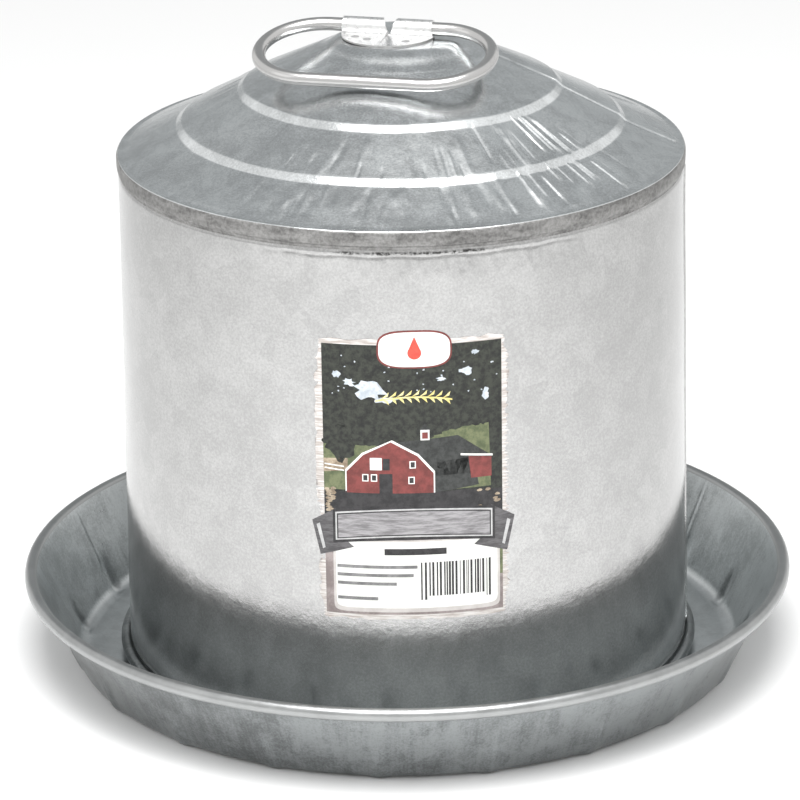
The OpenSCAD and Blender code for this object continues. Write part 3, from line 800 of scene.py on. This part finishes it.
def sheet_faces(base, long, wide):
    """Faces of a grid of points with a second, equal grid behind it, closed along all four edges."""
    size = long * wide
    faces = []
    for i in range(long - 1):
        for k in range(wide - 1):
            for a in (base + i * wide + k, base + size + i * wide + k):
                faces.append((a, a + 1, a + wide + 1, a + wide))
        for a in (base + i * wide, base + (i + 1) * wide - 1):
            faces.append((a, a + size, a + size + wide, a + wide))
    for a in [base + i * wide + k for i in (0, long - 1) for k in range(wide - 1)]:
        faces.append((a, a + size, a + size + 1, a + 1))
    return faces


def clip_piece():
    """Half-round flange whose two tabs roll back over the wire, with a notch between them."""
    line, flange_z = clip_section()
    lengths = lengths_along(line)
    bend_at = next(s for s, p in zip(lengths, line) if p[1] > flange_z + 0.6 * MM)
    steps = half_sheets(line)
    points, faces = [], []
    for side in (-1, 1):
        rows = clip_rows(line, lengths, bend_at, side)
        faces += sheet_faces(len(points), len(rows), len(rows[0]))
        for layer in (-1, 1):
            for row, (dy, dz) in zip(rows, steps * layer):
                points += [(x, y + dy, z + dz) for x, y, z in row]
    return mesh_from("clip_rolled", points, faces, sharp=50)


clip = finish_piece(clip_piece(), plated, "shell", "plated_steel", "handle_clip")
# The flange's low side edges take the darker dull_wire metal: painted shade along the line where the flange
# meets the cap.
paint_where(clip, dull_wire, lambda r, z, normal: abs(normal.z) < 0.3 and z < clip_low.z + 1.1 * SHEET)


def weld_marks():
    """Shallow round marks of the spot welds that hold the flange to the cap."""
    top = clip_low.z + SHEET
    profile = [(0, 0.02), (0.9, 0.03), (1.3, 0.12), (1.7, 0.03), (1.7, -0.1), (0, -0.1)]
    mark, sides = turn_outline([(r * MM, top + z * MM) for r, z in profile], circle_azimuths(15))
    points, faces = [], []
    for x, y in ((-12.0, -7.0), (-6.5, -10.0), (9.5, -10.2)):
        faces += [tuple(len(points) + i for i in face) for face in sides]
        points += [tuple(p) for p in mark + np.array((HINGE.x + x * MM, y * MM, 0))]
    return mesh_from("spot_welds", points, faces, sharp=60)


finish_piece(weld_marks(), solder_metal, "shell", "plated_steel")


# ---------------------------------------------------------------- CAD nodes that show as they are

for node, material in {
    "pan_rim_wire": dull_wire, "tank_rim_wire": dull_wire, "shell_mouth_wire": dull_wire,
    "tank_wall": tank_zinc, "tank_bottom": tank_zinc, "tank_foot_solder": solder_metal,
    "tank_lock_lugs": plated, "shell_lock_lugs": plated, "valve_bracket": plated, "valve_lever": plated,
    "bracket_rivets": dull_wire, "valve_pin": dull_wire, "valve_springs": dull_wire,
    "valve_seat": brass_metal, "pad_rivet": brass_metal, "valve_pad": rubber, "seam_compound": compound,
}.items():
    paint_node(node, material)


# ---------------------------------------------------------------- label

LABEL_AZ = math.radians(15)
LABEL_LOW = 58.0
LABEL_HIGH = 174.0
LABEL_WIDEN = 1.015
STRIP_W = 2.5
PAPER_BACK = 0.02
PAPER_FACE = 0.1
INK_STEP = 0.012

# Each ink's darker and lighter tone, the size of its grain and, if need be, the grain's stretch
INKS = {
    "paper": ((0.4, 0.35, 0.32), (0.72, 0.7, 0.68), 120.0, (1.0, 1.0, 14.0)),
    "leaves": ((0.004, 0.005, 0.004), (0.034, 0.038, 0.028), 420.0),
    "sky": ((0.4, 0.45, 0.5), (0.62, 0.66, 0.7), 300.0),
    "meadow": ((0.07, 0.09, 0.04), (0.16, 0.18, 0.09), 300.0),
    "straw": ((0.2, 0.15, 0.1), (0.46, 0.38, 0.28), 300.0),
    "barn": ((0.13, 0.025, 0.022), (0.22, 0.045, 0.04), 300.0),
    "red": ((0.6, 0.06, 0.04), (0.72, 0.09, 0.06), 300.0),
    "roof": ((0.016, 0.018, 0.017), (0.045, 0.048, 0.046), 400.0),
    "dark": ((0.01, 0.01, 0.011), (0.035, 0.033, 0.035), 300.0),
    "white": ((0.78, 0.78, 0.75), (0.86, 0.86, 0.83), 90.0),
    "mist": ((0.5, 0.47, 0.45), (0.62, 0.59, 0.57), 90.0),
    "shade": ((0.2, 0.165, 0.16), (0.38, 0.33, 0.32), 90.0),
    "rule": ((0.14, 0.14, 0.14), (0.24, 0.24, 0.24), 300.0),
    "edge": ((0.42, 0.42, 0.42), (0.55, 0.55, 0.55), 300.0),
    "banner": ((0.17, 0.165, 0.17), (0.36, 0.35, 0.36), 130.0, (1.0, 1.0, 7.0)),
    "ribbon": ((0.055, 0.053, 0.055), (0.13, 0.125, 0.13), 160.0, (1.0, 1.0, 5.0)),
    "yellow": ((0.7, 0.6, 0.2), (0.82, 0.74, 0.38), 300.0),
}


def print_ink(name, dark, light, scale, stretch=(1.0, 1.0, 1.0)):
    """Printed paper in two close tones, with a fibre grain."""
    g = surface("label_" + name)
    grain = g.noise(scale, 5.0, 0.7, vector=g.stretch(stretch))
    fibre = g.noise(1500.0, 3.0, 0.6)
    colour = g.mix(g.ramp(grain, 0.35, 0.65), dark, light)
    return g.finish(colour, g.ramp(fibre, 0.3, 0.7, 0.34, 0.48), fibre, bump_depth=0.00002)


def on_shell(u, z, lift):
    """A point of the label: u and z in mm, u to the right of the label's middle, lift above the wall."""
    radius = wall_radius(z * MM)
    turn = LABEL_AZ + LABEL_WIDEN * u * MM / radius
    radius += lift * MM
    return radius * math.sin(turn), -radius * math.cos(turn), z * MM


def strips(outline):
    """A flat outline as a triangle mesh, cut into upright strips that can bend round the wall."""
    bm = bmesh.new()
    bm.faces.new([bm.verts.new((u, z, 0)) for u, z in outline])
    bmesh.ops.triangulate(bm, faces=bm.faces[:])
    left, right = min(u for u, _ in outline), max(u for u, _ in outline)
    for cut_u in np.arange(math.ceil(left / STRIP_W) * STRIP_W, right, STRIP_W):
        bmesh.ops.bisect_plane(bm, geom=bm.verts[:] + bm.edges[:] + bm.faces[:], dist=1e-4,
                               plane_co=(cut_u, 0, 0), plane_no=(1, 0, 0))
    bmesh.ops.triangulate(bm, faces=bm.faces[:])
    bm.verts.index_update()
    return bm


class Print:
    """Thin closed layers of ink and paper bent round the shell, gathered into one object."""

    def __init__(self):
        self.points, self.faces, self.inks, self.used = [], [], [], []

    def layer(self, ink, outline, level):
        """A flat outline in mm, printed on the wall. Higher levels lie on lower ones."""
        bm = strips(outline)
        base, count = len(self.points), len(bm.verts)
        flat = [(v.co.x, v.co.y) for v in bm.verts]
        for lift in (PAPER_FACE + INK_STEP * level, PAPER_BACK):
            self.points += [on_shell(u, z, lift) for u, z in flat]
        if ink not in self.inks:
            self.inks.append(ink)
        before = len(self.faces)
        for face in bm.faces:
            corners = [v.index for v in face.verts]
            if face.normal.z < 0:
                corners.reverse()
            self.faces.append([base + i for i in corners])
            self.faces.append([base + count + i for i in reversed(corners)])
        for edge in bm.edges:
            if len(edge.link_faces) == 1:
                loop = edge.link_loops[0]
                a, b = loop.vert.index, loop.link_loop_next.vert.index
                if loop.face.normal.z < 0:
                    a, b = b, a
                self.faces.append([base + b, base + a, base + count + a, base + count + b])
        self.used += [self.inks.index(ink)] * (len(self.faces) - before)
        bm.free()

    def build(self, name):
        """The printed object, with one material for each ink that was used."""
        mesh = bpy.data.meshes.new(name)
        mesh.from_pydata(self.points, [], self.faces)
        obj = add_object(name, mesh, sharp=30)
        for ink in self.inks:
            mesh.materials.append(print_ink(ink, *INKS[ink]))
        mesh.polygons.foreach_set("material_index", self.used)
        return obj


def box_outline(left, right, low, high):
    """An upright rectangle."""
    return [(left, low), (right, low), (right, high), (left, high)]


def round_outline(middle, half_u, half_z, power=2.0, steps=48):
    """An ellipse, or with a higher power a rounded box."""
    out = []
    for a in np.linspace(0, 2 * math.pi, steps, endpoint=False):
        c, s = math.cos(a), math.sin(a)
        out.append((middle[0] + half_u * math.copysign(abs(c) ** (2 / power), c),
                    middle[1] + half_z * math.copysign(abs(s) ** (2 / power), s)))
    return out


def arched(left, right, low, high, rise, steps=16):
    """A band whose long sides bow upwards by rise."""
    u = np.linspace(left, right, steps + 1)
    bow = rise * (1 - ((u - (left + right) / 2) / ((right - left) / 2)) ** 2)
    return [(a, low + b) for a, b in zip(u, bow)] + [(a, high + b) for a, b in zip(u[::-1], bow[::-1])]


def ragged_paper(rng):
    """The label's pale border, torn into brush-like strokes along both sides."""
    heights = np.arange(LABEL_LOW + 1, LABEL_HIGH - 1, 1.3)
    right, left = [], []
    for i, z in enumerate(heights):
        fade = 1.0 if 4 < i < len(heights) - 5 else 0.3
        right += [(35.5 + rng.uniform(0.3, 1.6) * fade, z), (36.0 + rng.uniform(0.8, 2.6) * fade, z + 0.55)]
        left += [(-33.6 - rng.uniform(0.3, 1.6) * fade, z), (-34.1 - rng.uniform(0.8, 2.6) * fade, z + 0.55)]
    top = [(u, LABEL_HIGH - rng.uniform(0.1, 1.2)) for u in np.arange(33, -32, -3.0)]
    low = [(u, LABEL_LOW + rng.uniform(0.1, 1.2)) for u in np.arange(-32, 33, 3.0)]
    return low + right + top + left[::-1]


def blob(rng, u, z, half_u, half_z, steps=18, rough=0.25):
    """A leafy or stony patch with an uneven edge."""
    out = []
    for a in np.linspace(0, 2 * math.pi, steps, endpoint=False):
        reach = 1 + rng.uniform(-rough, rough)
        out.append((u + half_u * reach * math.cos(a), z + half_z * reach * math.sin(a)))
    return out


def hill_top(u):
    """The height in mm at which the meadow ends."""
    return 130.5 + 7.5 / (1 + math.exp((8 - u) / 5.0))


def draw_scene(p, rng):
    """A plain farm scene: trees, sky, a meadow and a red barn with a long roof."""
    p.layer("leaves", box_outline(-33.4, 35.3, 96, 171.2), 2)
    for u, z, w, h in ((-15, 153, 5, 3.4), (-23, 156, 2, 1.4), (21, 160, 2.4, 1.6), (-9, 149, 4, 1.2),
                       (29, 150, 1.2, 2), (-28, 159, 1.5, 1.2), (12, 157, 1.6, 0.8), (25, 167, 1.3, 0.8)):
        p.layer("sky", blob(rng, u, z, w, h, rough=0.45), 3)
    for _ in range(34):
        p.layer("sky", blob(rng, rng.uniform(-32, 34), rng.uniform(150, 169), 0.35, 0.3, 7, 0.5), 3)
    hill = [(u, hill_top(u)) for u in np.linspace(-33.4, 31, 20)]
    p.layer("meadow", hill + [(31, 112), (-33.4, 112)], 3)
    for u in np.arange(-31, 30, 3.1):
        p.layer("leaves", blob(rng, u, hill_top(u) + 1, 2.6, 1.3, 12, 0.3), 4)
    p.layer("straw", [(-33.4, 124.5), (-24, 125), (-24, 120), (-33.4, 119)], 4)
    p.layer("leaves", [(30, 139), (35.3, 141), (35.3, 104), (31, 104)], 4)
    p.layer("leaves", blob(rng, -27, 131, 5.5, 7, 22, 0.3), 4)
    p.layer("roof", [(-7, 131.8), (18, 134), (31, 124.5), (27, 118), (8, 118)], 5)
    p.layer("roof", [(8, 123), (24, 125), (26, 113), (8, 111)], 5)
    p.layer("barn", [(22, 125), (31, 124), (31, 116), (23, 116)], 6)
    p.layer("white", [(19, 126.4), (31.5, 125), (31.5, 124.2), (19, 125.6)], 7)
    gable = [(-24.5, 111), (8.6, 111), (8.6, 119), (2.5, 126.2), (-7.5, 132), (-18, 126.6), (-24.5, 119.6)]
    p.layer("white", [(u + (0.5 if u > -8 else -0.5), z + (0.8 if z > 115 else 0)) for u, z in gable], 6)
    p.layer("barn", gable, 7)
    p.layer("dark", box_outline(-12, -7, 111, 119), 8)
    p.layer("white", box_outline(-15.5, -11, 120.5, 125.5), 8)
    p.layer("dark", box_outline(-10.6, -8, 120.5, 125.2), 8)
    for u, z in ((-18.5, 117.2), (-15.2, 117.2), (-1, 116.2), (-0.5, 122.6)):
        p.layer("white", box_outline(u, u + 2.4, z - 1.4, z + 1.6), 8)
        p.layer("dark", box_outline(u + 0.4, u + 2.0, z - 1.0, z + 1.2), 9)
    p.layer("white", box_outline(3.8, 7.2, 132.6, 137), 7)
    p.layer("barn", box_outline(4.4, 6.6, 133.2, 135.8), 8)
    p.layer("roof", [(3.2, 136.8), (7.8, 136.8), (5.5, 139.2)], 8)
    for z in (120.4, 122.0):
        p.layer("white", [(-33, z), (-25.5, z - 0.7), (-25.5, z - 0.2), (-33, z + 0.5)], 8)
    yard = [(-33.4, 96), (35.3, 96), (35.3, 110.5), (20, 111.5), (0, 111), (-24, 111.6), (-33.4, 110)]
    p.layer("dark", yard, 6)
    for _ in range(26):
        u = rng.choice([rng.uniform(-32.5, -29.5), rng.uniform(24, 34.5)])
        p.layer("straw", blob(rng, u, rng.uniform(103, 113), 1.1, 0.6, 9), 8)


def draw_sprig(p):
    """A plain ear of straw in place of the printed slogan."""
    p.layer("yellow", arched(-13, 16, 148.4, 149.0, 1.5), 10)
    for i in range(9):
        u = -9.5 + 2.9 * i
        rise = 149.0 + 1.5 * (1 - ((u - 1.5) / 14.5) ** 2)
        for side in (-1, 1):
            leaf = [(u - 1.4, 0), (u - 0.2, 0.9), (u + 1.6, 2.6), (u + 1.2, 0.9)]
            p.layer("yellow", [(a, rise + side * b) for a, b in leaf], 10)


def draw_banner(p):
    """A blank bowed banner with folded ends."""
    for side in (-1, 1):
        def end(u, z):
            return (0.9 + side * u, z)
        p.layer("ribbon", [end(30, 104), end(39.3, 98.5), end(36.2, 84.5), end(23, 88.5), end(27, 92)], 11)
        p.layer("edge", [end(36.3, 97.6), end(37.6, 96.8), end(35.2, 87), end(34.2, 87.6)], 12)
    p.layer("dark", arched(-30.2, 32.2, 89.8, 103.6, 2.0), 13)
    p.layer("edge", arched(-29.2, 31.2, 91.0, 102.6, 2.0), 14)
    p.layer("dark", arched(-28.6, 30.6, 91.6, 102.0, 2.0), 15)
    p.layer("banner", arched(-28.1, 30.1, 92.1, 101.5, 2.0), 16)


def draw_panel(p, rng):
    """A white panel with plain rules and upright bars, and the brown shade beside it."""
    p.layer("shade", box_outline(-33.4, 35.3, 60.5, 96), 2)
    p.layer("meadow", box_outline(32.3, 35.3, 75, 90), 3)
    p.layer("mist", round_outline((1.9, 76.5), 32.2, 15.0, 16), 4)
    p.layer("white", round_outline((1.9, 77), 31.2, 13.8, 16), 5)
    p.layer("dark", box_outline(-10.5, 13.2, 85.4, 88.0), 10)
    for z, right in ((80.4, 2.0), (76.9, 0.5), (73.4, -6.0), (67.2, -13.2)):
        p.layer("rule", box_outline(-28.8, right, z - 0.65, z + 0.65), 10)
    u = 3.3
    while u < 30:
        wide = rng.choice([0.3, 0.55, 0.8])
        p.layer("dark", box_outline(u, u + wide, 66.6 + 1.6 * (5 < u < 28), 82.2), 10)
        u += wide + rng.choice([0.35, 0.6, 0.9])


def draw_emblem(p):
    """A plain rounded plaque with a drop of water."""
    p.layer("barn", round_outline((1.9, 169.4), 14.2, 7.6, 3.2), 11)
    p.layer("white", round_outline((1.9, 169.4), 13.5, 7.0, 3.2), 12)
    round_part = np.radians(np.linspace(-125, 125, 24))
    drop = [(1.9 + 2.6 * math.sin(a), 168.0 - 2.6 * math.cos(a)) for a in round_part]
    p.layer("red", drop + [(1.9, 174.6)], 13)


def label_piece():
    """The printed label."""
    rng = random.Random(11)
    p = Print()
    p.layer("paper", ragged_paper(rng), 0)
    draw_scene(p, rng)
    draw_sprig(p)
    draw_panel(p, rng)
    draw_banner(p)
    draw_emblem(p)
    return p.build("label_printed")


label = label_piece()
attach(label, "shell")
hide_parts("label")


# ---------------------------------------------------------------- stage, light, camera

def pale_floor():
    """Plain matt white, the same all over."""
    return surface("pale_floor").finish(shade(0.9), 0.9, Specular_IOR_Level=0.2)


def stage_floor():
    """A wide flat floor at the height of the pan's underside."""
    mesh = bpy.data.meshes.new("floor")
    size = 8.0
    corners = [(-size, -size, 0), (size, -size, 0), (size, size, 0), (-size, size, 0)]
    mesh.from_pydata(corners, [], [(0, 1, 2, 3)])
    floor = new_object("floor", mesh)
    mesh.materials.append(pale_floor())


def area_light(name, place, target, size, power):
    """A soft box that shines from place towards target, and that the camera doesn't see."""
    data = bpy.data.lights.new(name, "AREA")
    data.shape = "RECTANGLE"
    data.size, data.size_y = size
    data.energy = power
    lamp = new_object(name, data)
    lamp.location = place
    lamp.rotation_mode = "QUATERNION"
    lamp.rotation_quaternion = (Vector(target) - Vector(place)).to_track_quat("-Z", "Y")
    lamp.visible_camera = False


def soft_world(bright, back):
    """A bright surround with a soft darker field behind the object, for the sloping sheets to mirror."""
    world = bpy.data.worlds.new("studio")
    bpy.context.scene.world = world
    g = Graph(world, "Generated")
    beside = g.math("ABSOLUTE", g.along(from_camera(1, 0, 0)))
    behind = g.along(from_camera(0, -1, 0))
    field = g.math("MULTIPLY", g.ramp(beside, 0.56, 0.4), g.ramp(behind, 0.19, 0.41))
    g.put(g.tree.nodes["Background"].inputs["Color"], g.mix(field, bright, back))


VIEW_AZ = math.radians(14)
VIEW_YAW = math.radians(0.068)
VIEW_PITCH = math.radians(20.344)
VIEW_DISTANCE = 1.6
VIEW_HEIGHT = 0.7
VIEW_ROLL = math.radians(-0.88)
FOCAL = 186.9


def photo_camera():
    """The camera that sees the object as the photograph does."""
    data = bpy.data.cameras.new("view")
    data.lens = FOCAL
    data.sensor_width = 36.0
    data.clip_start, data.clip_end = 0.05, 50.0
    camera = new_object("view", data)
    camera.location = (VIEW_DISTANCE * math.sin(VIEW_AZ), -VIEW_DISTANCE * math.cos(VIEW_AZ), VIEW_HEIGHT)
    heading = VIEW_AZ + VIEW_YAW
    look = Vector((-math.sin(heading) * math.cos(VIEW_PITCH), math.cos(heading) * math.cos(VIEW_PITCH),
                   -math.sin(VIEW_PITCH)))
    camera.rotation_mode = "QUATERNION"
    camera.rotation_quaternion = look.to_track_quat("-Z", "Y") @ Quaternion((0, 0, 1), VIEW_ROLL)
    bpy.context.scene.camera = camera


def from_camera(side, toward, height):
    """A place given as metres to the camera's right, towards the camera and up."""
    forward = Vector((math.sin(VIEW_AZ), -math.cos(VIEW_AZ), 0))
    right = Vector((math.cos(VIEW_AZ), math.sin(VIEW_AZ), 0))
    return right * side + forward * toward + Vector((0, 0, height))


stage_floor()
area_light("top_box", place=from_camera(0, 0.45, 1), target=from_camera(0, 0.25, 0),
           size=(0.7, 0.6), power=13)
area_light("side_box", place=from_camera(-1.8, 0.8, 1.2), target=(0, 0, 0.1), size=(1.2, 1.2), power=2)
soft_world(bright=(1.02, 1.02, 1.015), back=(0.45, 0.465, 0.47))
photo_camera()
bpy.context.scene.view_settings.view_transform = "Standard"
